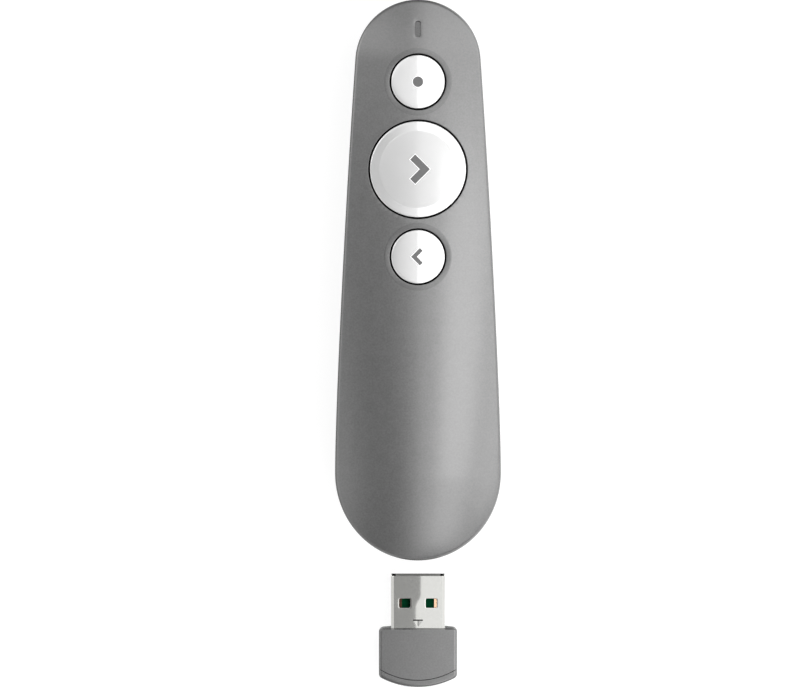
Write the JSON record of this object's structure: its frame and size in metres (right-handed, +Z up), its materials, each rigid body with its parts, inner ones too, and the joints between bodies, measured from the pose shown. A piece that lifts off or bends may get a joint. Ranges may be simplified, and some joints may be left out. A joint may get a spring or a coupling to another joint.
{
  "type": "wireless presentation clicker",
  "caption": "Handheld slide remote with a tapering crowned casing, round push buttons, a laser tip and a plug-in USB receiver that docks in the tail.",
  "frame": {"origin": "on the flat underside, straight below the centre of the large button", "axes": "+Y from the tail to the laser tip, +Z up out of the buttons, +X to the right"},
  "size_m": [0.037, 0.1532, 0.0253],
  "materials": {
    "casing": "fine satin grain, mid grey",
    "steel": "bright nickel plate",
    "button_white": "smooth white moulding",
    "icon_grey": "mid grey second shot",
    "smoke": "black moulding",
    "light_pipe": "tinted clear plastic",
    "lens_glass": "clear lens",
    "brass": "turned brass",
    "board_green": "green solder mask",
    "chip_black": "black epoxy",
    "cell_skin": "plain dark sleeve",
    "gold": "gold plate"
  },
  "bodies": {
    "remote": {"top_shell": "casing", "bottom_shell": "casing", "housing_screws": "steel", "button_frame": "smoke", "led_window": "light_pipe", "status_led": "lens_glass", "laser_window": "smoke", "laser_barrel": "brass", "laser_lens": "lens_glass", "laser_diode": "steel", "main_board": "board_green", "radio_chip": "chip_black", "crystal": "steel", "board_parts": "chip_black", "laser_switch": "steel", "next_switch": "steel", "back_switch": "steel", "battery_left": "cell_skin", "battery_right": "cell_skin", "contact_springs": "steel", "contact_plates": "steel"},
    "laser_button": {"laser_button": "button_white", "laser_dot": "icon_grey"},
    "next_button": {"next_button": "button_white", "next_chevron": "icon_grey"},
    "back_button": {"back_button": "button_white", "back_chevron": "icon_grey"},
    "laser_plunger": {"laser_plunger": "smoke"},
    "next_plunger": {"next_plunger": "smoke"},
    "back_plunger": {"back_plunger": "smoke"},
    "battery_door": {"battery_door": "casing"},
    "receiver": {"receiver_housing": "casing", "receiver_end_cap": "casing", "usb_shell": "steel", "usb_tongue": "board_green", "usb_contacts": "gold", "receiver_chip": "chip_black"}
  },
  "joints": [
    {"name": "laser_press", "type": "slide", "parent": "remote", "child": "laser_button", "axis": [0, -0.0621, -0.9981], "range_m": [0, 0.00035], "stiffness_N_per_m": 900, "springref_m": -0.0003},
    {"name": "next_press", "type": "slide", "parent": "remote", "child": "next_button", "axis": [0, -0.0395, -0.9992], "range_m": [0, 0.00045], "stiffness_N_per_m": 900, "springref_m": -0.0003},
    {"name": "back_press", "type": "slide", "parent": "remote", "child": "back_button", "axis": [0, -0.0169, -0.9999], "range_m": [0, 0.00035], "stiffness_N_per_m": 900, "springref_m": -0.0003},
    {"name": "laser_plunger_press", "type": "slide", "parent": "remote", "child": "laser_plunger", "axis": [0, 0, -1], "range_m": [0, 0.00035]},
    {"name": "next_plunger_press", "type": "slide", "parent": "remote", "child": "next_plunger", "axis": [0, 0, -1], "range_m": [0, 0.00045]},
    {"name": "back_plunger_press", "type": "slide", "parent": "remote", "child": "back_plunger", "axis": [0, 0, -1], "range_m": [0, 0.00035]},
    {"name": "door_hinge", "type": "hinge", "parent": "remote", "child": "battery_door", "pos_m": [0, -0.0591, 0.0007], "axis": [-1, 0, 0], "range_deg": [0, 90]},
    {"name": "receiver_slide", "type": "slide", "parent": "remote", "child": "receiver", "axis": [0, 1, 0], "range_m": [0, 0.0292]}
  ],
  "couplings": [
    {"joint": "laser_plunger_press", "follows": "laser_press", "ratio": 1},
    {"joint": "next_plunger_press", "follows": "next_press", "ratio": 1},
    {"joint": "back_plunger_press", "follows": "back_press", "ratio": 1}
  ]
}
